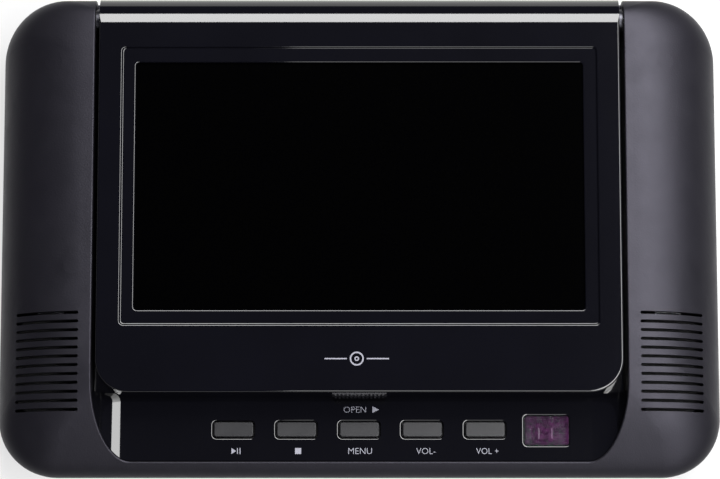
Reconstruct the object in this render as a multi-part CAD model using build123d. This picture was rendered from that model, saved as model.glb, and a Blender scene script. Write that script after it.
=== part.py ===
"""Portable disc player with its screen in the lid.

A shallow casing lies on four rubber feet. Its front half is a U of two domed speaker towers and a
low front strip, and its rear half is a tray that holds the boards, the battery and the sockets.
Between the towers a lid with the display turns on two pins at the back edge and covers the disc
well. Units are millimetres, X is the width, +Y points to the hinge and +Z out of the screen.
The origin is on the surface that the feet stand on, under the middle of the casing.
"""
import math
import os

from build123d import *

# ---- Driving dimensions -------------------------------------------------------------------------
HALF_WIDTH = 124.5        # casing, centre to side
HALF_DEPTH = 83.1         # casing, centre to front or hinge edge
CORNER_R = 21.0           # plan radius of the casing's corners
WALL = 2.0                # moulded wall
FOOT_HEIGHT = 1.5         # air under the casing
SPLIT_Z = 15.0            # joint between rear and front casing
DECK_Z = 22.5             # top of the deck and of the control panel
TOWER_Z = 35.0            # top of the speaker towers
FACE_Z = 36.0             # front face of the lid

OPENING_HALF = 91.65      # half the distance between the towers
PANEL_FRONT_Y = -78.2     # front edge of the control panel
PANEL_BACK_Y = -54.9      # where the panel meets the deck, under the lid's front edge

LID_HALF = 90.2
LID_FRONT_Y = -56.0
LID_BOTTOM_Z = 23.3
LID_CORNER_R = 11.5
LID_SEAM_Z = 33.0         # joint between the lid's bezel and its rear cover
LID_WALL = 1.8
HINGE_Y = 75.3
HINGE_Z = 28.4
BARREL_R = 6.7            # rounded lower back end of the lid, round the hinge axis
LID_ROLL_R = 10.0         # rounding from the lid's face down its back edge

DISPLAY_Y = 15.7          # centre of the display
APERTURE = (154.5, 86.6)  # what shows of the display
SURROUND = (164.0, 96.95) # stepped frame round the aperture

DISC_Y = 7.5              # centre of the disc well and the spindle
WELL_R = 61.0
WELL_FLOOR_Z = 17.5

BUTTON_PITCH = 21.6
BUTTON_Y = -67.3
BUTTON_SIZE = (13.4, 5.0)
WINDOW_X = 3 * BUTTON_PITCH - 0.5
WINDOW_Y = -67.6

SPEAKER_X = 107.05
SPEAKER_Y = -44.9
SLOT_COUNT = 12
SLOT_PITCH = 3.0
SLOT_SIZE = (21.9, 1.1)

SCREW_SPOTS = [(side * x, y) for side in (-1, 1) for x, y in ((106.0, 60.0), (98.6, -12.0), (100.0, -69.5))]
FOOT_SPOTS = [(side * 94.0, y) for side in (-1, 1) for y in (-58.0, 58.0)]
SOCKET_Z = 9.5
SOCKET_MOUTH = 117.3       # open end of the sockets, behind the right wall
SOCKET_YS = {"headphone": (44.0, 31.0), "av": 18.0, "power": 3.0, "switch": -13.0}

LENS_X = 23.5             # lens at its innermost place
ROD_YS = (DISC_Y - 17.0, DISC_Y + 17.0)
ROD_Z = 8.6
SCREW_Y = 31.0            # lead screw
SCREW_Z = 8.0
CHASSIS_Z = (10.6, 12.0)
DAMPER_SPOTS = [(x, y) for x in (-16.0, 60.0) for y in (-17.5, 37.5)]

HOOK_X = 24.0
LATCH_TRAVEL = 4.0

OUT = "parts"


# ---- Helpers ------------------------------------------------------------------------------------
def block(x0, x1, y0, y1, z0, z1):
    """A box between two corners."""
    return Pos((x0 + x1) / 2, (y0 + y1) / 2, (z0 + z1) / 2) * Box(x1 - x0, y1 - y0, z1 - z0)


def post(x, y, z0, z1, radius):
    """An upright cylinder from z0 to z1."""
    return Pos(x, y, (z0 + z1) / 2) * Cylinder(radius, z1 - z0)


def rod(x0, x1, y, z, radius):
    """A cylinder along X."""
    return Pos((x0 + x1) / 2, y, z) * Rot(0, 90, 0) * Cylinder(radius, x1 - x0)


def slab(x, y, width, depth, radius, z0, z1):
    """A plate with rounded plan corners."""
    face = Plane.XY.offset(z0) * Pos(x, y) * RectangleRounded(width, depth, radius)
    return extrude(face, z1 - z0)


def both_sides(shape):
    """The shape and its mirror image across the YZ plane."""
    return [shape, mirror(shape, about=Plane.YZ)]


def edges_at(shape, z, x_max=1e3, y_range=(-1e3, 1e3)):
    """Edges lying flat at height z, within |x| and y limits."""
    found = []
    for edge in shape.edges():
        box = edge.bounding_box()
        if abs(box.min.Z - z) > 1e-3 or abs(box.max.Z - z) > 1e-3:
            continue
        if max(abs(box.min.X), abs(box.max.X)) > x_max:
            continue
        if box.min.Y < y_range[0] or box.max.Y > y_range[1]:
            continue
        found.append(edge)
    return found


def save(name, *solids):
    """Writes one sub-part, of one or more separate solids."""
    export_step(Compound(children=list(solids)) if len(solids) > 1 else solids[0], f"{OUT}/{name}.step")


# ---- Casing shells ------------------------------------------------------------------------------
TOWER_ROLL_R = 10.0       # rounding of the towers' back edge
TOP_CORNER_R = 12.0       # plan radius of the highest level curve
HEEL_RATE = 30.0          # how fast the towers' front slope runs back, per radian of the side's ellipse


def heel(turn):
    """How far the dome's front edge has run back: hardly at all at the strip, then steadily."""
    late = turn - 0.24
    return HEEL_RATE * (math.hypot(late, 0.0775) + late - 0.0122) / 2


def dome(inset):
    """The front casing's outer form, or that form drawn in by the wall. Each level curve is a rounded
    rectangle whose half width follows a quarter ellipse from the side up to the tower's inner edge."""
    sections = []
    steps = 9
    for step in range(steps + 1):
        turn = math.radians(90 * step / steps)
        rise = math.sin(turn)
        half = OPENING_HALF + (HALF_WIDTH - OPENING_HALF - inset) * math.cos(turn)
        level = SPLIT_Z + rise * (TOWER_Z - SPLIT_Z - inset)
        roll = min(1.0, max(0.0, 1 - (1 - rise) * (TOWER_Z - SPLIT_Z) / TOWER_ROLL_R))
        front = -HALF_DEPTH + heel(turn) + inset
        back = HALF_DEPTH - TOWER_ROLL_R * (1 - math.sqrt(1 - roll**2)) - inset
        radius = CORNER_R + (TOP_CORNER_R - CORNER_R) * rise - inset
        sections.append(Plane.XY.offset(level) * Pos(0, (front + back) / 2)
                        * RectangleRounded(2 * half, back - front, radius))
    return loft(sections)


def tray(inset):
    """The rear casing's outer form: a quarter ellipse turns the side wall into the flat bottom."""
    sections = []
    steps = 6
    for step in range(steps + 1):
        turn = math.radians(90 * step / steps)
        z = SPLIT_Z - (SPLIT_Z - FOOT_HEIGHT - inset) * math.sin(turn)
        side = 11.0 * (1 - math.cos(turn)) + inset
        end = 9.0 * (1 - math.cos(turn)) + inset
        radius = CORNER_R - 7.0 * (1 - math.cos(turn)) - inset
        outline = RectangleRounded(2 * (HALF_WIDTH - side), 2 * (HALF_DEPTH - end), radius)
        sections.append(Plane.XY.offset(z) * outline)
    return loft(sections)


def opening(grow, z0, z1, back=80.3):
    """The opening between the towers, with elliptical front corners, as an upright prism."""
    half = OPENING_HALF + grow
    front = PANEL_FRONT_Y - grow
    reach = 13.15 + grow  # ellipse half axes
    length = 26.2 + grow
    centre = (half - reach, front + length)
    corner = Pos(*centre) * Ellipse(reach, length) + Pos(-centre[0], centre[1]) * Ellipse(reach, length)
    middle = Pos(0, (front + back) / 2) * Rectangle(2 * centre[0], back - front)
    upper = Pos(0, (centre[1] + back) / 2) * Rectangle(2 * half, back - centre[1])
    return extrude(Plane.XY.offset(z0) * (corner + middle + upper), z1 - z0)


def speaker_slots():
    """Twelve narrow rounded slots above one speaker."""
    first = SPEAKER_Y - SLOT_PITCH * (SLOT_COUNT - 1) / 2
    slot = slab(SPEAKER_X, first, SLOT_SIZE[0], SLOT_SIZE[1], SLOT_SIZE[1] / 2 - 0.01, 18, 40)
    return [Pos(0, SLOT_PITCH * n, 0) * slot for n in range(SLOT_COUNT)]


def inner_rims(shell):
    """The towers' edges along the opening, where the dome meets the opening's upright wall."""
    rims = []
    for edge in shell.edges():
        spots = [edge @ place for place in (0.1, 0.5, 0.9)]
        inside = [abs(spot.X) < OPENING_HALF + 0.05 for spot in spots]
        upper = [spot.Z > 18.0 for spot in spots]
        on_side = [abs(abs(spot.X) - OPENING_HALF) < 0.05 for spot in spots]
        if edge.length > 8 and all(inside) and all(upper) and all(on_side):
            rims.append(edge)
    return rims


def front_casing():
    """U-shaped front shell: two hollow domed towers joined by the front strip and a low back rail."""
    lip = WALL
    shell = dome(0) - (dome(WALL) - opening(lip, 10, 40, back=HALF_DEPTH))
    for x, y in SCREW_SPOTS:
        shell += post(x, y, 8.2, 40, 3.0) & dome(0)
    shell -= opening(0, 10, 40)
    shell -= block(-OPENING_HALF, OPENING_HALF, 75, 90, 20.0, 40)
    for x, y in SCREW_SPOTS:
        shell -= post(x, y, 8.0, 19.0, 1.15)
    for cut in both_sides(rod(85, 97.5, HINGE_Y, HINGE_Z, 3.52)):
        shell -= cut
    shell = fillet(inner_rims(shell), 0.5)
    for slot in speaker_slots():
        for cut in both_sides(slot):
            shell -= cut
    return shell


def rear_casing():
    """Bottom tray with screw wells, board posts, speaker posts, vents and the socket openings."""
    shell = tray(0) - tray(WALL)
    floor = FOOT_HEIGHT + WALL
    for x, y in SCREW_SPOTS:
        shell += post(x, y, FOOT_HEIGHT, 8.0, 4.6)
    for x, y in ((-84, -46), (-84, 52), (-34, -46), (-34, 52)):
        shell += post(x, y, floor - 0.5, 6.0, 2.5)
    for y in (-17, 50):
        shell += post(105.0, y, floor - 0.5, 5.2, 2.2)
    for side in (-1, 1):
        for y in (SPEAKER_Y - 20.5, SPEAKER_Y + 20.5):
            shell += post(side * SPEAKER_X, y, floor - 0.5, 17.0, 2.0)
    for x in (-52, 0, 52):
        shell += post(x, -73.5, floor - 0.5, 16.4, 2.0)
    for x in (5.5, 53.5):
        rim = slab(x, -36.5, 49.4, 29.4, 4.0, floor - 0.5, 7.0)
        shell += rim - slab(x, -36.5, 46.6, 26.6, 2.6, 0, 12)
    for x, y in SCREW_SPOTS:
        shell -= post(x, y, 0, 5.8, 3.1)
        shell -= post(x, y, 0, 9, 1.7)
    for x, y in FOOT_SPOTS:
        shell -= post(x, y, 0, FOOT_HEIGHT + 0.5, 7.2)
    for n in range(9):
        for y in (-22, 26):
            shell -= slab(-74 + 4.5 * n, y, 2.0, 34.0, 0.99, 0, 5)
    for y in (*SOCKET_YS["headphone"], SOCKET_YS["av"], SOCKET_YS["power"]):
        shell -= rod(SOCKET_MOUTH, 130, y, SOCKET_Z, 4.2)
    switch_y = SOCKET_YS["switch"]
    shell -= block(118, 130, switch_y - 4.4, switch_y + 4.4, SOCKET_Z - 1.9, SOCKET_Z + 1.9)
    return shell


def case_screws():
    """Self-tapping screws from the bottom into the front casing's posts."""
    screws = []
    for x, y in SCREW_SPOTS:
        screw = post(x, y, 3.8, 5.8, 2.9) + post(x, y, 5.8, 17.0, 1.1)
        screws.append(screw - slab(x, y, 3.6, 0.8, 0.2, 3.0, 4.8) - slab(x, y, 0.8, 3.6, 0.2, 3.0, 4.8))
    return screws


def rubber_feet():
    """Four round feet in shallow seats, with a soft lower edge."""
    feet = []
    for x, y in FOOT_SPOTS:
        foot = post(x, y, 0, FOOT_HEIGHT + 0.5, 7.0)
        feet.append(fillet(edges_at(foot, 0), 0.5))
    return feet


# ---- Control panel ------------------------------------------------------------------------------
PANEL_FLAT_HALF = 80.0    # half width of the flat part
PANEL_COVE_R = 11.65      # its ends sweep up against the towers
PANEL_HALF = 91.3
PANEL_T = 2.0
BUTTON_GAP = 0.4
WELL_ROUND = 0.6          # rounding of the panel's edges round the keys and the window
BUTTON_TOP_Z = 23.1


def cove_section():
    """Half of the panel's cross section: flat, then a cove up to its end."""
    rise = PANEL_COVE_R - math.sqrt(PANEL_COVE_R**2 - (PANEL_HALF - PANEL_FLAT_HALF)**2)
    turn = math.asin((PANEL_HALF - PANEL_FLAT_HALF) / PANEL_COVE_R) / 2
    middle = (PANEL_FLAT_HALF + PANEL_COVE_R * math.sin(turn), PANEL_COVE_R * (1 - math.cos(turn)))
    upper, lower = [
        ((0, z), (PANEL_FLAT_HALF, z), (middle[0], z + middle[1]), (PANEL_HALF, z + rise))
        for z in (DECK_Z, DECK_Z - PANEL_T)]
    return make_face([Line(lower[0], upper[0]), Line(upper[0], upper[1]), ThreePointArc(*upper[1:]),
                      Line(upper[3], lower[3]), ThreePointArc(*lower[1:]), Line(lower[1], lower[0])])


def control_panel():
    """Gloss inlay with coved ends, five button wells and the window opening."""
    bar = extrude(Plane.XZ * cove_section(), 90)
    bar += mirror(bar, about=Plane.YZ)
    panel = bar & opening(-0.15, 10, 40) & block(-95, 95, -90, PANEL_BACK_Y, 10, 40)
    for n in range(-2, 3):
        panel -= slab(n * BUTTON_PITCH, BUTTON_Y, BUTTON_SIZE[0] + 2 * BUTTON_GAP,
                      BUTTON_SIZE[1] + 2 * BUTTON_GAP, 1.25, 10, 30)
    panel -= slab(WINDOW_X, WINDOW_Y, 15.5, 10.4, 1.3, 10, 30)
    rims = edges_at(panel, DECK_Z, x_max=75, y_range=(-76, -58))
    return fillet(rims, WELL_ROUND)


def button(n):
    """One key: a softly edged cap on a flange that cannot pass the well, with a stem for its switch."""
    x = n * BUTTON_PITCH
    cap = slab(x, BUTTON_Y, *BUTTON_SIZE, 0.85, 20.2, BUTTON_TOP_Z)
    cap = fillet(edges_at(cap, BUTTON_TOP_Z), 0.3)
    flange = slab(x, BUTTON_Y, 16.0, 7.2, 1.0, 19.55, 20.3)
    return cap + flange


def ir_window():
    """Tinted window with a broad bevel, snapped into the panel."""
    window = slab(WINDOW_X, WINDOW_Y, 15.2, 10.1, 1.15, 20.4, 23.0)
    return chamfer(edges_at(window, 23.0), 0.6)


def button_board():
    """Strip of circuit board behind the keys."""
    board = slab(7.0, -67.0, 136.0, 14.0, 1.0, 16.4, 17.6)
    return board


def tact_switches():
    """Five push switches, one under each key."""
    made = []
    for n in range(-2, 3):
        x = n * BUTTON_PITCH
        made.append(slab(x, BUTTON_Y, 6.0, 4.4, 0.3, 17.6, 18.8) + post(x, BUTTON_Y, 18.8, 19.1, 1.4))
    return made


def ir_receiver():
    """Remote receiver in its metal shield, with a round lens on top."""
    shield = slab(WINDOW_X - 0.3, WINDOW_Y, 5.4, 6.2, 0.4, 17.6, 19.4)
    return shield + Pos(WINDOW_X - 0.3, WINDOW_Y, 19.0) * Sphere(1.2)


# ---- Deck and disc drive ------------------------------------------------------------------------
BARREL_SWEEP_R = 8.4      # clearance round the turning lid barrel


def deck_plate():
    """Inner deck with the round disc well, the spindle and pickup openings and the trough for the hinge."""
    edge = OPENING_HALF - 0.35
    deck = block(-edge, edge, PANEL_BACK_Y + 0.15, 70, DECK_Z - 2, DECK_Z)
    deck += block(-edge, edge, 66, 80.0, 17.8, DECK_Z)
    deck += post(0, DISC_Y, WELL_FLOOR_Z - 1.6, DECK_Z, WELL_R + 1.6) & block(-edge, edge, -54.7, 80, 10, 30)
    for x, y in DAMPER_SPOTS:
        deck += post(x, y, 13.6, DECK_Z - 0.5, 2.6)
    deck -= rod(-edge - 1, edge + 1, HINGE_Y, HINGE_Z, BARREL_SWEEP_R)
    deck -= post(0, DISC_Y, WELL_FLOOR_Z, 40, WELL_R)
    deck -= post(0, DISC_Y, 10, 40, 14.0)
    deck -= slab(34.3, DISC_Y, 52.6, 18.0, 6.0, 10, 40)
    for x, y in DAMPER_SPOTS:
        deck -= post(x, y, 13.0, 16.4, 1.35)
    for side in (-1, 1):
        x = side * HOOK_X + LATCH_TRAVEL / 2
        deck -= slab(x, -53.05, 11.0, 2.5, 0.5, 10, 40)
    return deck


def drive_chassis():
    """Pressed plate that carries the motors and the pickup's rods, with folded lugs for the rod ends."""
    z0, z1 = CHASSIS_Z
    plate = slab(28.0, 10.5, 100.0, 66.0, 3.0, z0, z1)
    plate -= post(0, DISC_Y, 0, 20, 10.3)
    plate -= slab(44.0, DISC_Y, 62.0, 30.0, 1.0, 0, 20)
    plate -= block(-9, 13.5, 26.2, 36.0, 0, 20)
    for x, y in DAMPER_SPOTS:
        plate -= post(x, y, 0, 20, 3.0)
    for x0, x1 in ((11.0, 13.4), (75.0, 77.6)):
        for y in ROD_YS:
            plate += block(x0, x1, y - 1.9, y + 1.9, 6.4, z0 + 0.5)
    plate += block(75.0, 77.6, SCREW_Y - 2.2, SCREW_Y + 2.2, 5.8, z0 + 0.5)
    for y in ROD_YS:
        plate -= rod(10, 80, y, ROD_Z, 1.5)
    plate -= rod(70, 80, SCREW_Y, SCREW_Z, 1.0)
    return plate


def drive_dampers():
    """Four rubber bushes that isolate the chassis from the deck."""
    made = []
    for x, y in DAMPER_SPOTS:
        bush = post(x, y, 9.0, 13.6, 4.2) - post(x, y, 8, 20, 1.4)
        groove = post(x, y, CHASSIS_Z[0], CHASSIS_Z[1], 6) - post(x, y, 8, 20, 2.98)
        made.append(bush - groove)
    return made


def drive_screws():
    """Shoulder screws up through the bushes into the deck's posts."""
    return [post(x, y, 7.6, 9.0, 3.2) + post(x, y, 9.0, 16.2, 1.3) for x, y in DAMPER_SPOTS]


def guide_rods():
    """Two polished rods that the pickup slides on."""
    return [rod(11.0, 77.6, y, ROD_Z, 1.48) for y in ROD_YS]


def pickup_sled():
    """Die-cast pickup body with a bored bearing on one rod, a fork on the other and the screw's follower."""
    x0, x1 = LENS_X - 9.0, LENS_X + 13.0
    body = block(x0, x1, -6.0, 21.0, 5.6, 12.6) - post(0, DISC_Y, 0, 20, 16.0)
    body += block(x0, x1, ROD_YS[0] - 3.0, -5.5, 6.2, 10.3)
    body -= rod(x0 - 1, x1 + 1, ROD_YS[0], ROD_Z, 1.53)
    body += block(x0 + 6, x1 - 6, 20.5, ROD_YS[1] + 2.6, 6.2, 10.3)
    body -= block(x0, x1, ROD_YS[1] - 1.7, ROD_YS[1] + 5, ROD_Z - 1.56, ROD_Z + 1.56)
    body += block(x0 + 6, x1 - 6, ROD_YS[1] - 2.2, 29.3, 6.0, 6.9)
    body += block(x0 + 8, x1 - 8, 28.3, 29.35, 6.2, 9.4)
    body -= slab(LENS_X, DISC_Y, 15.0, 15.0, 1.0, 9.0, 20)
    return body


def lens_holder():
    """Moulded frame of the focus actuator."""
    frame = slab(LENS_X, DISC_Y, 11.0, 12.0, 1.0, 9.8, 14.8)
    frame += post(LENS_X, DISC_Y, 14.5, 15.3, 3.6)
    return frame - post(LENS_X, DISC_Y, 12.6, 20, 2.6)


def pickup_lens():
    """Objective lens: a short cylinder with a spherical front."""
    crown = Pos(LENS_X, DISC_Y, 11.8) * Sphere(4.2) & post(LENS_X, DISC_Y, 14.2, 18, 2.55)
    return post(LENS_X, DISC_Y, 13.0, 14.4, 2.55) + crown


def lead_screw():
    """Feed screw, turned down at its far end to run in the chassis lug."""
    return rod(11.2, 74.8, SCREW_Y, SCREW_Z, 1.4) + rod(74.0, 77.4, SCREW_Y, SCREW_Z, 0.95)


def feed_motor():
    """Small motor that turns the feed screw, on a bracket under the chassis."""
    return rod(-8.0, 12.0, SCREW_Y, SCREW_Z, 4.4) - rod(11.0, 12.5, SCREW_Y, SCREW_Z, 2.2)


def spindle_motor():
    """Flat motor under the turntable."""
    can = post(0, DISC_Y, 4.6, 12.3, 10.0) + post(0, DISC_Y, 9.9, 10.6, 12.4)
    return can - post(0, DISC_Y, 5.4, 20, 1.06)


def turntable():
    """Disc flange with the centring hub, on the motor's shaft."""
    flange = post(0, DISC_Y, 16.0, 18.3, 13.0) + post(0, DISC_Y, 5.6, 16.5, 1.0)
    hub = chamfer(edges_at(post(0, DISC_Y, 18.2, 21.4, 7.4), 21.4), 0.8)
    table = flange + hub
    for n in range(3):
        turn = math.radians(120 * n + 90)
        table -= post(6.6 * math.cos(turn), DISC_Y + 6.6 * math.sin(turn), 18.6, 21.25, 1.24)
    return table


def turntable_ring():
    """Rubber ring that the disc rests on."""
    return post(0, DISC_Y, 18.3, 18.7, 12.7) - post(0, DISC_Y, 18, 19, 9.4)


def clamp_balls():
    """Three balls that snap out under the disc's centre hole."""
    turns = [math.radians(120 * n + 90) for n in range(3)]
    return [Pos(6.6 * math.cos(t), DISC_Y + 6.6 * math.sin(t), 20.0) * Sphere(1.2) for t in turns]


# ---- Lid ----------------------------------------------------------------------------------------
LID_RIM_R = 0.7           # rounding of the lid's face into its sides


def lid_form(inset, low, high):
    """The lid's outer form drawn in by inset: rounded front corners, rolled over the hinge at the back."""
    half = LID_HALF - inset
    front = LID_FRONT_Y + inset
    radius = LID_CORNER_R - inset
    plan = slab(0, (front + 120) / 2, 2 * half, 120 - front, radius, 0, FACE_Z)
    plan = fillet(plan.edges().group_by(Axis.Z)[-1], LID_RIM_R)
    flat = block(-half, half, front, HALF_DEPTH - LID_ROLL_R, low, high)
    back = rod(-half, half, HALF_DEPTH - LID_ROLL_R, FACE_Z - LID_ROLL_R, LID_ROLL_R - inset)
    back &= block(-100, 100, HALF_DEPTH - LID_ROLL_R, 90, FACE_Z - LID_ROLL_R, high)
    barrel = rod(-half, half, HINGE_Y, HINGE_Z, BARREL_R - inset)
    return (flat + back + barrel) & plan


def lid_split(gap):
    """The space of the lid's bezel: above the seam, and all of the roll over the hinge."""
    return (block(-100, 100, -70, 90, LID_SEAM_Z - gap, 50)
            + block(-100, 100, 68.3 - gap, 90, FACE_Z - LID_ROLL_R - gap, 50))


LID_SCREW_SPOTS = [(side * 86.0, y) for side in (-1, 1) for y in (-38.0, 14.0, 60.0)]
BEZEL_T = 2.1             # thickness of the bezel's face
BAND_Z = 35.2             # band between the surround's step and the aperture


def lid_hollow():
    """Room inside the lid for the display and its board, and inside the barrel."""
    room = lid_form(LID_WALL, LID_BOTTOM_Z + LID_WALL, FACE_Z - BEZEL_T) & block(-100, 100, -70, 66, 0, 50)
    return room + rod(-88, 88, HINGE_Y, HINGE_Z, BARREL_R - LID_WALL) + block(-88, 88, 60, 72, 26.0, 31.0)


def lid_front_bezel():
    """Gloss front of the lid, with a stepped frame round the display."""
    bezel = (lid_form(0, LID_BOTTOM_Z, FACE_Z) & lid_split(0)) - lid_hollow()
    for x, y in LID_SCREW_SPOTS:
        bezel += post(x, y, 29.0, 34.5, 2.3) - post(x, y, 28, 33.4, 0.85)
    bezel -= slab(0, DISPLAY_Y, *SURROUND, 1.3, BAND_Z, 40)
    bezel -= slab(0, DISPLAY_Y, *APERTURE, 1.1, 30, 40)
    for level in (FACE_Z, BAND_Z):
        bezel = fillet(edges_at(bezel, level, x_max=83, y_range=(-40, 66)), 0.5)
    return bezel


def lid_rear_cover():
    """Inner half of the lid, with screw posts, hook slots and a shallow relief over the spindle."""
    cover = (lid_form(0, LID_BOTTOM_Z, FACE_Z) - lid_split(0.12)) - lid_hollow()
    cover -= block(-LID_HALF, LID_HALF, 66, 68.2, 25.5, 31)
    for x, y in LID_SCREW_SPOTS:
        cover += post(x, y, LID_BOTTOM_Z, 28.9, 2.3)
    for x, y in LID_SCREW_SPOTS:
        cover -= post(x, y, 20, 24.9, 2.05) + post(x, y, 20, 30, 1.1)
    cover -= post(0, DISC_Y, 20, 24.2, 16.0)
    for side in (-1, 1):
        cover -= slab(side * HOOK_X + LATCH_TRAVEL / 2, -53.05, 11.0, 2.3, 0.5, 20, 26)
    cover -= block(-4.5, 8.5, -60, -53, 28.0, 32.0)
    cover += block(17.0, 18.4, -52.2, -48.6, 24.0, 31.5)
    return cover


def hinge_holes(shape):
    """A lid half with the two pin holes cut."""
    for cut in both_sides(rod(80, 92, HINGE_Y, HINGE_Z, 2.02)):
        shape -= cut
    return shape


def lid_screws():
    """Small cross-head screws from the rear cover into the bezel."""
    made = []
    for x, y in LID_SCREW_SPOTS:
        screw = post(x, y, 23.5, 24.9, 1.95) + post(x, y, 24.9, 33.0, 0.8)
        made.append(screw - slab(x, y, 2.4, 0.6, 0.1, 23, 24.2) - slab(x, y, 0.6, 2.4, 0.1, 23, 24.2))
    return made


def hinge_pins():
    """Right pin is solid; the left one is a tube that lets the display's lead through."""
    pin = rod(84.0, 97.0, HINGE_Y, HINGE_Z, 2.0)
    left = mirror(pin, about=Plane.YZ) - rod(-100, -80, HINGE_Y, HINGE_Z, 1.4)
    return [left, pin]


def hinge_washers():
    """Washers between the lid's ends and the towers."""
    ring = rod(90.3, 91.5, HINGE_Y, HINGE_Z, 4.0) - rod(90, 92, HINGE_Y, HINGE_Z, 2.2)
    return both_sides(ring)


def hinge_bushes():
    """Bearing bushes in the towers' inner walls."""
    return both_sides(rod(91.7, 96.5, HINGE_Y, HINGE_Z, 3.5) - rod(90, 98, HINGE_Y, HINGE_Z, 2.06))


def lid_bumpers():
    """Soft pads under the lid's front corners."""
    return [post(side * 78.0, -46.0, DECK_Z, LID_BOTTOM_Z, 3.0) for side in (-1, 1)]


MODULE = (164.9, 100.0)   # display module outline


def lcd_glass():
    """Front glass of the display, black when it is off."""
    return slab(0, DISPLAY_Y, 159.0, 91.0, 0.5, 32.4, 33.8)


def light_guide():
    """Backlight's clear plate behind the glass."""
    return slab(0, DISPLAY_Y, 158.0, 90.0, 0.5, 28.6, 32.3)


def lcd_frame():
    """Pressed steel tray that clamps the glass and the light guide."""
    outer = slab(0, DISPLAY_Y, *MODULE, 1.0, 27.9, 33.7)
    return outer - slab(0, DISPLAY_Y, 160.0, 92.0, 0.6, 28.5, 40)


def display_board():
    """Circuit board that drives the display."""
    return slab(-20.0, 10.0, 96.0, 40.0, 1.0, 25.2, 26.3)


def display_chips():
    """Display controller, memory, backlight driver and a connector."""
    spots = ((-40, 14, 12, 12), (-14, 8, 9, 7), (8, 18, 14, 5), (-44, -4, 7, 5))
    return [slab(x, y, w, d, 0.3, 26.3, 27.5) for x, y, w, d in spots]


# ---- Lid latch ----------------------------------------------------------------------------------
def open_slider():
    """Ribbed thumb piece on the lid's front wall, with a stem through the wall."""
    knob = block(-9.25, 9.25, -56.65, -56.1, 27.0, 35.0)
    for n in range(-6, 7):
        knob += block(1.35 * n - 0.32, 1.35 * n + 0.32, -57.1, -56.5, 26.5, 34.8)
    return knob + block(-3.0, 3.0, -56.2, -53.9, 28.5, 31.5)


def latch_bar():
    """Steel bar behind the wall, with two hooks that reach down into the deck's slots."""
    bar = block(-28.0, 28.0, -53.9, -52.4, 27.2, 31.8)
    bar += block(4.0, 5.4, -53.0, -48.8, 27.6, 31.4)
    for side in (-1, 1):
        x = side * HOOK_X
        bar += block(x - 2, x + 2, -53.9, -52.4, 18.4, 28.0)
        bar += block(x - 3.0, x, -53.9, -52.4, 18.4, 19.8)
    return bar


# ---- Speakers -----------------------------------------------------------------------------------
def speaker_frames():
    """Pressed baskets with an oval flange and two ears."""
    basket = slab(SPEAKER_X, SPEAKER_Y, 23.6, 36.0, 10.0, 17.0, 21.4)
    basket += slab(SPEAKER_X, SPEAKER_Y, 9.0, 46.0, 4.0, 17.0, 18.2)
    basket += slab(SPEAKER_X, SPEAKER_Y, 18.0, 26.0, 8.0, 13.4, 17.5)
    basket -= slab(SPEAKER_X, SPEAKER_Y, 20.6, 33.0, 9.0, 18.4, 30)
    basket -= slab(SPEAKER_X, SPEAKER_Y, 15.4, 23.4, 7.0, 14.6, 30)
    return both_sides(basket)


def speaker_cones():
    """Oval paper cones with a rolled edge and a dust cap."""
    rim = Plane.XY.offset(20.8) * Pos(SPEAKER_X, SPEAKER_Y) * RectangleRounded(20.0, 32.4, 8.8)
    throat = Plane.XY.offset(16.2) * Pos(SPEAKER_X, SPEAKER_Y) * RectangleRounded(7.0, 9.0, 3.2)
    cone = loft([throat, rim], ruled=True)
    inside = Pos(0, 0, 0.6) * cone
    cap = Pos(SPEAKER_X, SPEAKER_Y, 14.6) * Sphere(4.6) & block(90, 120, -60, -30, 16.4, 30)
    return both_sides((cone - inside) + cap)


def speaker_magnets():
    """Ring magnets behind the cones, as plain discs."""
    return both_sides(post(SPEAKER_X, SPEAKER_Y, 8.4, 13.4, 8.0))


def speaker_cloths():
    """Dark cloth stretched between speaker and slots."""
    return both_sides(slab(SPEAKER_X, SPEAKER_Y, 23.6, 36.0, 10.0, 21.4, 21.9))


# ---- Boards, sockets, battery -------------------------------------------------------------------
BOARD_Z = (6.0, 7.6)
SOCKET_BOARD_Z = (5.2, 6.6)


def main_board():
    """Decoder and control board on four posts."""
    board = slab(-59.0, 3.0, 58.0, 106.0, 1.5, *BOARD_Z)
    for x, y in ((-84, -46), (-84, 52), (-34, -46), (-34, 52)):
        board -= post(x, y, 0, 10, 1.4)
    return board


def board_chips():
    """Decoder, memory, flash, servo driver."""
    spots = ((-62, 8, 20, 20, 1.6), (-62, 32, 22, 10, 1.2), (-42, 8, 6, 9, 1.6), (-60, -20, 13, 9, 2.0))
    return [slab(x, y, w, d, 0.3, BOARD_Z[1], BOARD_Z[1] + h) for x, y, w, d, h in spots]


def board_capacitors():
    """Electrolytic capacitors by the supply."""
    spots = ((-80, -36), (-71, -36), (-80, -26), (-38, -34))
    return [post(x, y, BOARD_Z[1], BOARD_Z[1] + 5.4, 3.1) for x, y in spots]


def board_connectors():
    """Flat-cable connectors for the drive, the keys and the lid."""
    spots = ((-33.5, 14, 5, 18), (-50, -46.5, 18, 5), (-82, 38, 6, 12))
    return [slab(x, y, w, d, 0.4, BOARD_Z[1], BOARD_Z[1] + 2.2) for x, y, w, d in spots]


def socket_board():
    """Narrow board along the right wall that carries the sockets and the switch."""
    return slab(110.3, 15.0, 12.4, 74.0, 1.0, *SOCKET_BOARD_Z)


def plug_socket(y):
    """A 3.5 mm socket body with a round bore."""
    body = slab(109.8, y, 15.0, 8.6, 0.5, SOCKET_BOARD_Z[1], 12.6)
    return body - rod(SOCKET_MOUTH - 14.0, 130, y, SOCKET_Z, 1.8)


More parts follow.
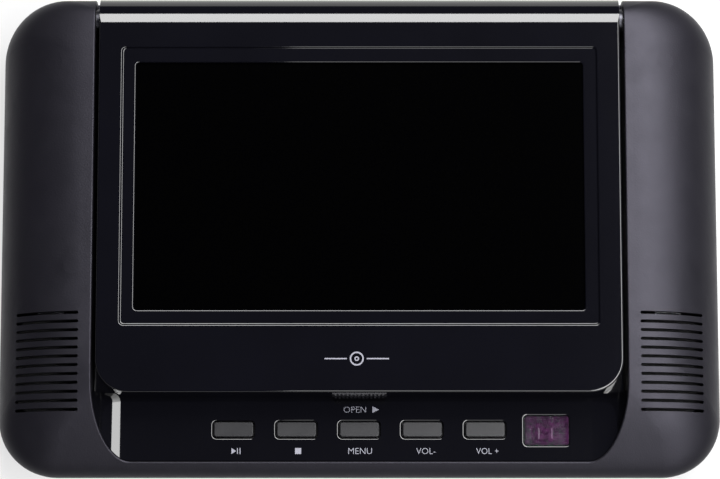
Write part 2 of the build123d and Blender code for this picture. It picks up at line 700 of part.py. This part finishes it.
def power_socket():
    """Supply socket with a centre pin."""
    y = SOCKET_YS["power"]
    body = slab(109.8, y, 15.0, 9.4, 0.5, SOCKET_BOARD_Z[1], 13.4)
    bored = body - rod(SOCKET_MOUTH - 11.5, 130, y, SOCKET_Z, 2.85)
    return bored + rod(SOCKET_MOUTH - 12.0, SOCKET_MOUTH - 0.5, y, SOCKET_Z, 1.0)


def power_switch():
    """Body of the slide switch, open towards the wall."""
    y = SOCKET_YS["switch"]
    body = slab(113.5, y, 9.0, 10.0, 0.4, SOCKET_BOARD_Z[1], 12.2)
    return body - block(113.0, 130, y - 3.9, y + 3.9, SOCKET_Z - 1.3, SOCKET_Z + 1.3)


def power_switch_knob():
    """Slide knob with three grip ribs, drawn at off."""
    y = SOCKET_YS["switch"] - 1.6
    knob = block(113.4, 123.9, y - 1.9, y + 1.9, SOCKET_Z - 1.2, SOCKET_Z + 1.2)
    for n in (-1, 0, 1):
        knob += block(123.7, 124.3, y + 1.2 * n - 0.3, y + 1.2 * n + 0.3, SOCKET_Z - 1.2, SOCKET_Z + 1.2)
    return knob


def battery_cells():
    """Two flat lithium cells."""
    return [slab(x, -36.5, 46.0, 26.0, 2.5, 3.6, 12.0) for x in (5.5, 53.5)]


def display_lead():
    """Lead from the main board up the left tower and through the hollow hinge pin."""
    route = FilletPolyline((-81.0, HINGE_Y, HINGE_Z), (-100.5, HINGE_Y, HINGE_Z), (-99.8, 68.0, 11.6),
                           (-85.0, 45.0, 11.2), radius=3.2)
    start = Plane(origin=route @ 0, z_dir=route % 0)
    return sweep(start * Circle(1.1), route)


def key_ribbon():
    """Flat cable from the key board down to the main board."""
    upper = [(-60.2, 16.35), (-55.0, 16.35), (-50.5, 11.0), (-47.0, 10.15)]
    lower = [(y - 0.15, z - 0.35) for y, z in reversed(upper)]
    return extrude(Plane.YZ.offset(-56) * make_face(Polyline(*upper, *lower, close=True)), 12.0)


# ---- Build --------------------------------------------------------------------------------------
def main():
    os.makedirs(OUT, exist_ok=True)
    save("front_casing", front_casing())
    save("rear_casing", rear_casing())
    save("case_screws", *case_screws())
    save("rubber_feet", *rubber_feet())

    save("control_panel", control_panel())
    for name, n in (("play_pause_button", -2), ("stop_button", -1), ("menu_button", 0),
                    ("volume_down_button", 1), ("volume_up_button", 2)):
        save(name, button(n))
    save("ir_window", ir_window())
    save("button_board", button_board())
    save("tact_switches", *tact_switches())
    save("ir_receiver", ir_receiver())

    save("deck_plate", deck_plate())
    save("drive_chassis", drive_chassis())
    save("drive_dampers", *drive_dampers())
    save("drive_screws", *drive_screws())
    save("guide_rods", *guide_rods())
    save("pickup_sled", pickup_sled())
    save("lens_holder", lens_holder())
    save("pickup_lens", pickup_lens())
    save("lead_screw", lead_screw())
    save("feed_motor", feed_motor())
    save("spindle_motor", spindle_motor())
    save("turntable", turntable())
    save("turntable_ring", turntable_ring())
    save("clamp_balls", *clamp_balls())

    save("lid_front_bezel", hinge_holes(lid_front_bezel()))
    save("lid_rear_cover", hinge_holes(lid_rear_cover()))
    save("lid_screws", *lid_screws())
    save("lid_bumpers", *lid_bumpers())
    save("hinge_pins", *hinge_pins())
    save("hinge_washers", *hinge_washers())
    save("hinge_bushes", *hinge_bushes())
    save("lcd_glass", lcd_glass())
    save("light_guide", light_guide())
    save("lcd_frame", lcd_frame())
    save("display_board", display_board())
    save("display_chips", *display_chips())
    save("open_slider", open_slider())
    save("latch_bar", latch_bar())

    save("speaker_frames", *speaker_frames())
    save("speaker_cones", *speaker_cones())
    save("speaker_magnets", *speaker_magnets())
    save("speaker_cloths", *speaker_cloths())

    save("main_board", main_board())
    save("board_chips", *board_chips())
    save("board_capacitors", *board_capacitors())
    save("board_connectors", *board_connectors())
    save("socket_board", socket_board())
    save("plug_sockets", *[plug_socket(y) for y in (*SOCKET_YS["headphone"], SOCKET_YS["av"])])
    save("power_socket", power_socket())
    save("power_switch", power_switch())
    save("power_switch_knob", power_switch_knob())
    save("battery_cells", *battery_cells())
    save("display_lead", display_lead())
    save("key_ribbon", key_ribbon())


main()
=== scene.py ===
import bpy
import math
import numpy as np
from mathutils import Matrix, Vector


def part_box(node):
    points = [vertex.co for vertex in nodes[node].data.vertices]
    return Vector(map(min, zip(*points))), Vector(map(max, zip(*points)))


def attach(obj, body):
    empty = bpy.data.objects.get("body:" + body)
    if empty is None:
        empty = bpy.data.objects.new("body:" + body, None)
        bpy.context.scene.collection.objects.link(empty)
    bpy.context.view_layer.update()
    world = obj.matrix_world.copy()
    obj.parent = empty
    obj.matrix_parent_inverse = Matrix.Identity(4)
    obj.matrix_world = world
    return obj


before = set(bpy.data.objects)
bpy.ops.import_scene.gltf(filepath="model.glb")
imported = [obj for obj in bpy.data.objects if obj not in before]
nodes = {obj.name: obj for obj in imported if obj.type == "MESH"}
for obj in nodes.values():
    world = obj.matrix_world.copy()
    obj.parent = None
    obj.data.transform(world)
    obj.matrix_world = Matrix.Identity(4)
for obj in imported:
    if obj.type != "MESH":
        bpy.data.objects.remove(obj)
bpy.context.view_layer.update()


# ---- Camera, floor and lights --------------------------------------------------------------------
# A long lens high above the screen, a little towards the front edge, and a pale studio floor.
# One broad soft light hangs to the right and one behind the hinge, with a weak one in front;
# straight above stays dark.
CAMERA_TILT = math.radians(10)
CAMERA_DISTANCE = 1.2
AIM = (0.0002, -0.00145, 0.025)

camera_data = bpy.data.cameras.new("camera")
camera_data.sensor_width = 36
camera_data.lens = 173.4
camera_data.clip_end = 20
camera = bpy.data.objects.new("camera", camera_data)
bpy.context.scene.collection.objects.link(camera)
camera.location = (AIM[0], AIM[1] - CAMERA_DISTANCE * math.sin(CAMERA_TILT),
                   AIM[2] + CAMERA_DISTANCE * math.cos(CAMERA_TILT))
camera.rotation_euler = (CAMERA_TILT, 0, 0)
bpy.context.scene.camera = camera
bpy.context.scene.view_settings.view_transform = "Standard"


def add(tree, kind, inputs=None, **settings):
    """Adds one shader node, sets its settings, and fills or links its inputs."""
    node = tree.nodes.new("ShaderNode" + kind)
    for name, value in settings.items():
        setattr(node, name, value)
    for socket, value in (inputs or {}).items():
        if isinstance(value, bpy.types.NodeSocket):
            tree.links.new(value, node.inputs[socket])
        else:
            node.inputs[socket].default_value = value
    return node


def linear(code):
    """Turns an sRGB hex code into a linear colour with alpha 1."""
    parts = np.array([int(code[n:n + 2], 16) for n in (1, 3, 5)]) / 255
    low = parts / 12.92
    high = ((parts + 0.055) / 1.055) ** 2.4
    return (*np.where(parts <= 0.04045, low, high).tolist(), 1.0)


def shader_of(name):
    """A new material with its node tree and its surface shader."""
    material = bpy.data.materials.new(name)
    material.use_nodes = True
    tree = material.node_tree
    return material, tree, tree.nodes["Principled BSDF"]


def mesh_piece(name, points, faces, smooth=False):
    """A mesh object from arrays of points and faces, at the origin."""
    mesh = bpy.data.meshes.new(name)
    mesh.from_pydata(np.asarray(points).tolist(), [], faces)
    mesh.polygons.foreach_set("use_smooth", [smooth] * len(mesh.polygons))
    mesh.update()
    piece = bpy.data.objects.new(name, mesh)
    bpy.context.scene.collection.objects.link(piece)
    return piece


FLOOR_HALF = 4.0
floor = mesh_piece("floor", [(-FLOOR_HALF, -FLOOR_HALF, 0), (FLOOR_HALF, -FLOOR_HALF, 0),
                             (FLOOR_HALF, FLOOR_HALF, 0), (-FLOOR_HALF, FLOOR_HALF, 0)], [(0, 1, 2, 3)])
paper, tree, shader = shader_of("white seamless paper")
shader.inputs["Base Color"].default_value = linear("#606060")
shader.inputs["Roughness"].default_value = 0.9
shader.inputs["Emission Color"].default_value = (1, 1, 1, 1)
shader.inputs["Emission Strength"].default_value = 0.68
floor.data.materials.append(paper)

world = bpy.data.worlds.new("dim studio")
world.use_nodes = True
world.node_tree.nodes["Background"].inputs["Color"].default_value = (0.62, 0.62, 1, 1)
world.node_tree.nodes["Background"].inputs["Strength"].default_value = 0.08
bpy.context.scene.world = world


def softbox(name, place, size, watts, turn):
    """A rectangular area light; turn is its rotation in degrees about X and Y."""
    lamp = bpy.data.lights.new(name, "AREA")
    lamp.shape = "RECTANGLE"
    lamp.size, lamp.size_y = size
    lamp.energy = watts
    light = bpy.data.objects.new(name, lamp)
    bpy.context.scene.collection.objects.link(light)
    light.location = place
    light.rotation_euler = (math.radians(turn[0]), math.radians(turn[1]), 0)


softbox("right softbox", (0.49, -0.08, 0.9), (0.60, 1.4), 34, (0, 0))
softbox("back softbox", (0.2, 0.72, 0.92), (0.78, 0.70), 27, (-12, 0))
softbox("front fill", (0.35, -0.95, 0.75), (0.8, 0.9), 8, (50, 0))


# ---- Casing shells -------------------------------------------------------------------------------
# Front and rear casing: injection-moulded ABS, charcoal, with a fine spark-eroded texture that
# breaks highlights into a soft sheen. Six self-tapping screws hold them, and four rubber feet.
def moulded(name, colour, second, roughness, grain_mm, grain_depth_mm, shine=0.5):
    """Moulded plastic. Two close tones drift over 30 mm, the surface has a noise grain of the
    given size and depth, and its roughness wanders a little with handling."""
    material, tree, shader = shader_of(name)
    place = add(tree, "TexCoord").outputs["Object"]
    drift = add(tree, "TexNoise", {"Vector": place, "Scale": 1 / 0.030, "Detail": 4.0})
    tone = add(tree, "Mix", {"Factor": drift.outputs["Fac"], "A": linear(colour), "B": linear(second)},
               data_type="RGBA")
    tree.links.new(tone.outputs["Result"], shader.inputs["Base Color"])
    handling = add(tree, "TexNoise", {"Vector": place, "Scale": 1 / 0.009, "Detail": 5.0, "Roughness": 0.65})
    gloss = add(tree, "MapRange", {"Value": handling.outputs["Fac"], "From Min": 0.3, "From Max": 0.7,
                                   "To Min": roughness * 0.92, "To Max": roughness * 1.1})
    tree.links.new(gloss.outputs["Result"], shader.inputs["Roughness"])
    grain = add(tree, "TexNoise", {"Vector": place, "Scale": 1000 / grain_mm, "Detail": 2.0})
    relief = add(tree, "Bump", {"Height": grain.outputs["Fac"], "Distance": grain_depth_mm / 1000,
                                "Strength": 1.0})
    tree.links.new(relief.outputs["Normal"], shader.inputs["Normal"])
    shader.inputs["IOR"].default_value = 1.5
    shader.inputs["Specular IOR Level"].default_value = shine
    return material


def finish(material, *names):
    """Gives CAD nodes a material."""
    for name in names:
        mesh = nodes[name].data
        mesh.materials.clear()
        mesh.materials.append(material)


def metal(name, colour, second, roughness, streak_mm=None):
    """Plated or machined metal: two tones in a noise, drawn out along X as streaks if asked."""
    material, tree, shader = shader_of(name)
    place = add(tree, "TexCoord").outputs["Object"]
    if streak_mm:
        place = add(tree, "Mapping", {"Vector": place, "Scale": (0.04, 1.0, 1.0)}).outputs["Vector"]
    spread = 1000 / (streak_mm or 3.0)
    grain = add(tree, "TexNoise", {"Vector": place, "Scale": spread, "Detail": 5.0, "Roughness": 0.6})
    tone = add(tree, "Mix", {"Factor": grain.outputs["Fac"], "A": linear(colour), "B": linear(second)},
               data_type="RGBA")
    tree.links.new(tone.outputs["Result"], shader.inputs["Base Color"])
    gloss = add(tree, "MapRange", {"Value": grain.outputs["Fac"], "From Min": 0.3, "From Max": 0.7,
                                   "To Min": roughness * 0.8, "To Max": roughness * 1.3})
    tree.links.new(gloss.outputs["Result"], shader.inputs["Roughness"])
    shader.inputs["Metallic"].default_value = 1.0
    return material


charcoal = moulded("charcoal ABS, spark-eroded", "#09090b", "#0c0b0f", 0.45, 0.55, 0.035, 0.22)
charcoal.node_tree.nodes["Principled BSDF"].inputs["Specular Tint"].default_value = (0.86, 0.83, 1.0, 1.0)
dark_charcoal = moulded("dark charcoal ABS, spark-eroded", "#0c0c0e", "#0f0f12", 0.5, 0.55, 0.04, 0.3)
zinc = metal("zinc-plated steel", "#a9abb0", "#8f9196", 0.35)
rubber = moulded("black moulded rubber", "#171718", "#1d1d1e", 0.75, 0.4, 0.03)
finish(charcoal, "front_casing")
finish(dark_charcoal, "rear_casing")
finish(zinc, "case_screws")
finish(rubber, "rubber_feet")


# ---- Control panel -------------------------------------------------------------------------------
# Inlay of piano-black ABS whose ends sweep up against the towers. It comes from a polished mould,
# so it mirrors its surroundings sharply, with a slight waviness.
piano_black = moulded("piano-black polished ABS", "#030304", "#050507", 0.05, 6.0, 0.004)
finish(piano_black, "control_panel")


# ---- Keys ----------------------------------------------------------------------------------------
# Five caps of satin grey ABS, each rising through its well from a flange, over a push switch.
key_grey = moulded("satin grey ABS", "#131315", "#171719", 0.38, 0.35, 0.01, 0.24)
finish(key_grey, "play_pause_button", "stop_button", "menu_button", "volume_down_button", "volume_up_button")
switch_black = moulded("black nylon", "#101011", "#161617", 0.45, 0.3, 0.01)
finish(switch_black, "tact_switches")


# ---- Panel legends -------------------------------------------------------------------------------
# Function words and signs pad-printed in pale grey ink, a few hundredths of a millimetre thick.
INK_THICK = 0.00003
LEGEND_Y = -0.0747
LEGEND_HEIGHT = 0.00207
PANEL_TOP = 0.0225


def ink(name, colour, second):
    """Printed ink: nearly matt, its cover a little uneven over half a millimetre."""
    material, tree, shader = shader_of(name)
    place = add(tree, "TexCoord").outputs["Object"]
    cover = add(tree, "TexNoise", {"Vector": place, "Scale": 2000.0, "Detail": 3.0})
    tone = add(tree, "Mix", {"Factor": cover.outputs["Fac"], "A": linear(colour), "B": linear(second)},
               data_type="RGBA")
    tree.links.new(tone.outputs["Result"], shader.inputs["Base Color"])
    shader.inputs["Roughness"].default_value = 0.45
    return material


pale_ink = ink("pale grey ink", "#63636c", "#5b5b64")


def prism(name, outlines, z, thick, material, body):
    """Thin flat solids: each outline, listed anticlockwise, is a bottom face, a top face and a wall."""
    points, faces = [], []
    for outline in outlines:
        start, count = len(points), len(outline)
        points += [(x, y, z) for x, y in outline] + [(x, y, z + thick) for x, y in outline]
        faces.append(tuple(range(start + count - 1, start - 1, -1)))
        faces.append(tuple(range(start + count, start + 2 * count)))
        faces += [(start + n, start + (n + 1) % count, start + count + (n + 1) % count, start + count + n)
                  for n in range(count)]
    piece = mesh_piece(name, points, faces)
    piece.data.materials.append(material)
    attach(piece, body)
    return piece


def word(name, text, x, y, z, width, height, body):
    """A printed word, its capitals fitted to a width and a height and centred on x and y."""
    curve = bpy.data.curves.new(name, "FONT")
    curve.body = text
    curve.extrude = 0.01
    curve.offset = -0.012
    curve.resolution_u = 3
    maker = bpy.data.objects.new("maker", curve)
    bpy.context.scene.collection.objects.link(maker)
    mesh = bpy.data.meshes.new_from_object(maker.evaluated_get(bpy.context.evaluated_depsgraph_get()))
    bpy.data.objects.remove(maker)
    bpy.data.curves.remove(curve)
    spots = np.empty(len(mesh.vertices) * 3)
    mesh.vertices.foreach_get("co", spots)
    spots = spots.reshape(-1, 3)
    low, high = spots.min(0), spots.max(0)
    size = np.array([width, height, INK_THICK])
    spots = (spots - (low + high) / 2) / (high - low) * size + (x, y, z + INK_THICK / 2)
    mesh.vertices.foreach_set("co", spots.ravel())
    mesh.update()
    mesh.name = name
    mesh.materials.clear()
    mesh.materials.append(pale_ink)
    piece = bpy.data.objects.new(name, mesh)
    bpy.context.scene.collection.objects.link(piece)
    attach(piece, body)


def bar(x0, x1, y0, y1):
    """Outline of a rectangle."""
    return [(x0, y0), (x1, y0), (x1, y1), (x0, y1)]


def arrow(x0, x1, y, half):
    """Outline of a triangle that points right."""
    return [(x0, y - half), (x1, y), (x0, y + half)]


half = LEGEND_HEIGHT / 2
LEGEND_LOW, LEGEND_TOP = LEGEND_Y - half, LEGEND_Y + half
OPEN_Y = -0.0604
pause_bars = [bar(-0.0420, -0.0417, LEGEND_LOW, LEGEND_TOP), bar(-0.0411, -0.0408, LEGEND_LOW, LEGEND_TOP)]
prism("play_pause_sign", [arrow(-0.0439, -0.0423, LEGEND_Y, half)] + pause_bars,
      PANEL_TOP, INK_THICK, pale_ink, "base")
prism("stop_sign", [bar(-0.0221, -0.0200, LEGEND_LOW, LEGEND_TOP)], PANEL_TOP, INK_THICK, pale_ink, "base")
prism("open_arrow", [arrow(0.00445, 0.00675, OPEN_Y, 0.00115)], PANEL_TOP, INK_THICK, pale_ink, "base")
word("menu_word", "MENU", 0.00025, LEGEND_Y, PANEL_TOP, 0.0081, LEGEND_HEIGHT, "base")
word("volume_down_word", "VOL-", 0.0228, LEGEND_Y, PANEL_TOP, 0.0066, LEGEND_HEIGHT, "base")
word("volume_up_word", "VOL +", 0.0439, LEGEND_Y, PANEL_TOP, 0.00765, LEGEND_HEIGHT, "base")
word("open_word", "OPEN", -0.00155, OPEN_Y, PANEL_TOP, 0.0077, LEGEND_HEIGHT, "base")


# ---- Remote window and receiver ------------------------------------------------------------------
# Purple acrylic that passes infrared, its dye a little cloudy; the receiver's dark epoxy body and
# two tinned leads stand behind it.
window_tint, tree, shader = shader_of("purple infrared acrylic")
place = add(tree, "TexCoord").outputs["Object"]
cloud = add(tree, "TexNoise", {"Vector": place, "Scale": 1 / 0.0016, "Detail": 4.0})
patch = add(tree, "MapRange", {"Value": cloud.outputs["Fac"], "From Min": 0.28, "From Max": 0.72})
tone = add(tree, "Mix", {"Factor": patch.outputs["Result"], "A": linear("#3f1d3d"), "B": linear("#0e0710")},
           data_type="RGBA")
tree.links.new(tone.outputs["Result"], shader.inputs["Base Color"])
shader.inputs["Roughness"].default_value = 0.07
shader.inputs["IOR"].default_value = 1.49
shader.inputs["Alpha"].default_value = 0.5
finish(window_tint, "ir_window")
finish(switch_black, "ir_receiver")


SHIELD_LOW, SHIELD_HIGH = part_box("ir_receiver")
mid_x = (SHIELD_LOW.x + SHIELD_HIGH.x) / 2
mid_y = (SHIELD_LOW.y + SHIELD_HIGH.y) / 2
pin_metal = moulded("dull tinned copper", "#c9c2cc", "#b3abb8", 0.45, 0.3, 0.01)
LEAD_SPACING, LEAD_WIDE, LEAD_LONG = 0.0045, 0.0006, 0.0038
LEAD_Y = mid_y - 0.0006
lead_xs = [mid_x + side * LEAD_SPACING / 2 for side in (-1, 1)]
prism("receiver_leads", [bar(x - LEAD_WIDE / 2, x + LEAD_WIDE / 2, LEAD_Y - LEAD_LONG / 2, LEAD_Y + LEAD_LONG / 2)
                         for x in lead_xs], SHIELD_HIGH.z - 0.0009, 0.0003, pin_metal, "base")


# ---- Boards --------------------------------------------------------------------------------------
# Glass-epoxy boards under green solder mask, with copper tracks showing as paler lines beneath it.
def board(name):
    """Green solder mask: rows of track-wide stripes, broken by cells, are a little paler and raised."""
    material, tree, shader = shader_of(name)
    place = add(tree, "TexCoord").outputs["Object"]
    cells = add(tree, "TexVoronoi", {"Vector": place, "Scale": 1 / 0.007, "Randomness": 0.8},
                distance="CHEBYCHEV")
    tracks = add(tree, "TexWave", {"Vector": place, "Scale": 1 / 0.012, "Distortion": 3.0, "Detail": 1.0})
    run = add(tree, "Math", {0: tracks.outputs["Fac"], 1: cells.outputs["Distance"]}, operation="MULTIPLY")
    edge = add(tree, "MapRange", {"Value": run.outputs["Value"], "From Min": 0.18, "From Max": 0.22})
    tone = add(tree, "Mix", {"Factor": edge.outputs["Result"], "A": linear("#0d4a2c"),
                             "B": linear("#1c6b41")}, data_type="RGBA")
    tree.links.new(tone.outputs["Result"], shader.inputs["Base Color"])
    relief = add(tree, "Bump", {"Height": edge.outputs["Result"], "Distance": 0.00004, "Strength": 1.0})
    tree.links.new(relief.outputs["Normal"], shader.inputs["Normal"])
    shader.inputs["Roughness"].default_value = 0.3
    return material


solder_mask = board("green solder mask on glass epoxy")
chip_epoxy = moulded("moulded chip epoxy", "#1b1b1d", "#222224", 0.6, 0.2, 0.01)
nylon = moulded("natural nylon", "#d9d5c6", "#cfcabb", 0.5, 0.5, 0.01)
drawn_can = metal("drawn aluminium can", "#c6c8cc", "#b4b6ba", 0.3)
film = moulded("polyester flat cable", "#c9c9c4", "#bdbdb8", 0.35, 1.0, 0.02)
finish(solder_mask, "button_board", "main_board", "socket_board", "display_board")
finish(chip_epoxy, "board_chips", "display_chips")
finish(nylon, "board_connectors")
finish(drawn_can, "board_capacitors")
finish(film, "key_ribbon")


# ---- Sockets and power switch --------------------------------------------------------------------
# Black nylon socket bodies on their own board behind the right wall, and a ribbed slide knob.
finish(switch_black, "plug_sockets", "power_socket", "power_switch")
finish(key_grey, "power_switch_knob")


# ---- Battery -------------------------------------------------------------------------------------
# Two flat lithium cells in aluminium laminate pouches, side by side in the rear casing.
pouch = metal("aluminium laminate pouch", "#b9bcc2", "#a6a9af", 0.4)
finish(pouch, "battery_cells")


# ---- Deck and disc drive -------------------------------------------------------------------------
# Gloss ABS deck with the disc well; a pressed steel chassis hangs below it on rubber bushes with
# the motors, the polished rods and the die-cast pickup.
deck_black = moulded("gloss black ABS", "#060607", "#09090a", 0.06, 5.0, 0.004, 0.4)
rod_steel = metal("ground and polished steel", "#d4d6da", "#c4c6ca", 0.12, 0.3)
die_cast = metal("die-cast zinc", "#9a9ca0", "#86888c", 0.45)
finish(deck_black, "deck_plate")
finish(zinc, "drive_chassis", "drive_screws", "feed_motor", "spindle_motor")
finish(rubber, "drive_dampers", "turntable_ring")
finish(rod_steel, "guide_rods", "lead_screw", "clamp_balls")
finish(die_cast, "pickup_sled")
finish(switch_black, "lens_holder", "turntable")

lens_glass, tree, shader = shader_of("coated lens glass")
place = add(tree, "TexCoord").outputs["Object"]
sheen = add(tree, "LayerWeight", {"Blend": 0.4})
tone = add(tree, "Mix", {"Factor": sheen.outputs["Facing"], "A": linear("#7fa6c8"), "B": linear("#8a5fb0")},
           data_type="RGBA")
tree.links.new(tone.outputs["Result"], shader.inputs["Base Color"])
dust = add(tree, "TexNoise", {"Vector": place, "Scale": 3000.0, "Detail": 2.0})
haze = add(tree, "MapRange", {"Value": dust.outputs["Fac"], "To Min": 0.01, "To Max": 0.06})
tree.links.new(haze.outputs["Result"], shader.inputs["Roughness"])
shader.inputs["Transmission Weight"].default_value = 0.6
shader.inputs["IOR"].default_value = 1.5
finish(lens_glass, "pickup_lens")


# ---- Lid -----------------------------------------------------------------------------------------
# Bezel and inner cover of the same piano-black polished ABS, screwed together from inside, with
# soft pads at the front corners.
lid_black = moulded("piano-black polished ABS, lid", "#030304", "#050508", 0.05, 7.0, 0.004)
finish(lid_black, "lid_front_bezel")
finish(lid_black, "lid_rear_cover")
finish(zinc, "lid_screws")
finish(rubber, "lid_bumpers")


# ---- Display -------------------------------------------------------------------------------------
# Liquid-crystal panel, switched off: black behind a low-glare polarizer, in a pressed steel tray
# with its light guide.
polarizer, tree, shader = shader_of("low-glare polarizer film")
place = add(tree, "TexCoord").outputs["Object"]
bead = add(tree, "TexNoise", {"Vector": place, "Scale": 1000 / 0.35, "Detail": 2.0})
tone = add(tree, "Mix", {"Factor": bead.outputs["Fac"], "A": linear("#000000"), "B": linear("#010101")},
           data_type="RGBA")
tree.links.new(tone.outputs["Result"], shader.inputs["Base Color"])
haze = add(tree, "MapRange", {"Value": bead.outputs["Fac"], "To Min": 0.05, "To Max": 0.08})
tree.links.new(haze.outputs["Result"], shader.inputs["Roughness"])
shader.inputs["Specular IOR Level"].default_value = 0.06
finish(polarizer, "lcd_glass")
guide_acrylic = moulded("clear acrylic on white film", "#e6e9ec", "#dcdfe2", 0.2, 0.8, 0.01)
finish(guide_acrylic, "light_guide")
finish(zinc, "lcd_frame")


# ---- Hinge ---------------------------------------------------------------------------------------
# Ground steel pins in acetal bushes, with blackened washers between the lid's ends and the towers;
# the display's lead passes through the hollow left pin.
acetal = moulded("natural acetal", "#dcdcd6", "#d0d0ca", 0.4, 0.8, 0.01)
lead_jacket = moulded("black vinyl lead jacket", "#141415", "#1a1a1b", 0.5, 0.6, 0.01)
blackened = metal("blackened steel", "#3e3e42", "#333337", 0.35)
finish(rod_steel, "hinge_pins")
finish(acetal, "hinge_bushes")
finish(blackened, "hinge_washers")
finish(lead_jacket, "display_lead")


# ---- Lid latch -----------------------------------------------------------------------------------
# Ribbed thumb slider on the lid's front wall; behind it a steel bar with two hooks.
slider_black = moulded("satin black ABS, slider", "#131316", "#17171a", 0.25, 0.4, 0.008)
finish(slider_black, "open_slider")
finish(zinc, "latch_bar")


# ---- Lid sign ------------------------------------------------------------------------------------
# Printed in the same pale ink on the lid below the display: a disc between two short rules.
SIGN_X, SIGN_Y = -0.0009, -0.0446
LID_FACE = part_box("lid_front_bezel")[1].z
turns = np.linspace(0, 2 * math.pi, 49)[:-1]


def ring_halves(radius, hole):
    """A ring as two half rings, each an outline out along one arc and back along the other."""
    halves = []
    for start in (0.0, math.pi):
        t = np.linspace(start, start + math.pi, 25)
        outer = [(SIGN_X + radius * math.cos(a), SIGN_Y + radius * math.sin(a)) for a in t]
        inner = [(SIGN_X + hole * math.cos(a), SIGN_Y + hole * math.sin(a)) for a in t[::-1]]
        halves.append(outer + inner)
    return halves


RULE_X, RULE_HALF, RULE_HALF_THICK = 0.0072, 0.0038, 0.00022
rule_xs = [SIGN_X + side * RULE_X for side in (-1, 1)]
rules = [bar(x - RULE_HALF, x + RULE_HALF, SIGN_Y - RULE_HALF_THICK, SIGN_Y + RULE_HALF_THICK) for x in rule_xs]
prism("lid_sign", ring_halves(0.0024, 0.0019) + ring_halves(0.0008, 0.0004) + rules,
      LID_FACE, INK_THICK, pale_ink, "lid")


# ---- Speakers ------------------------------------------------------------------------------------
# Small speakers in pressed frames below each slotted tower, with black cloth over the cone. The
# cloth's threads are drawn 0.8 mm apart, coarser than real ones, so that they show.
cone_paper = moulded("pressed cone paper", "#1c1b1a", "#252422", 0.8, 0.5, 0.05)
magnet = metal("nickel-plated magnet", "#8d8e90", "#7b7c7e", 0.3)
cloth, tree, shader = shader_of("black woven speaker cloth")
place = add(tree, "TexCoord").outputs["Object"]
threads = [add(tree, "TexWave", {"Vector": place, "Scale": 1 / 0.0008 / 3},
               bands_direction=way).outputs["Fac"] for way in ("X", "Y")]
weave = add(tree, "Math", {0: threads[0], 1: threads[1]}, operation="MULTIPLY")
tone = add(tree, "Mix", {"Factor": weave.outputs["Value"], "A": linear("#0a0a0b"), "B": linear("#1b1b1d")},
           data_type="RGBA")
tree.links.new(tone.outputs["Result"], shader.inputs["Base Color"])
relief = add(tree, "Bump", {"Height": weave.outputs["Value"], "Distance": 0.0001, "Strength": 1.0})
tree.links.new(relief.outputs["Normal"], shader.inputs["Normal"])
shader.inputs["Roughness"].default_value = 0.9
finish(zinc, "speaker_frames")
finish(cone_paper, "speaker_cones")
finish(magnet, "speaker_magnets")
finish(cloth, "speaker_cloths")
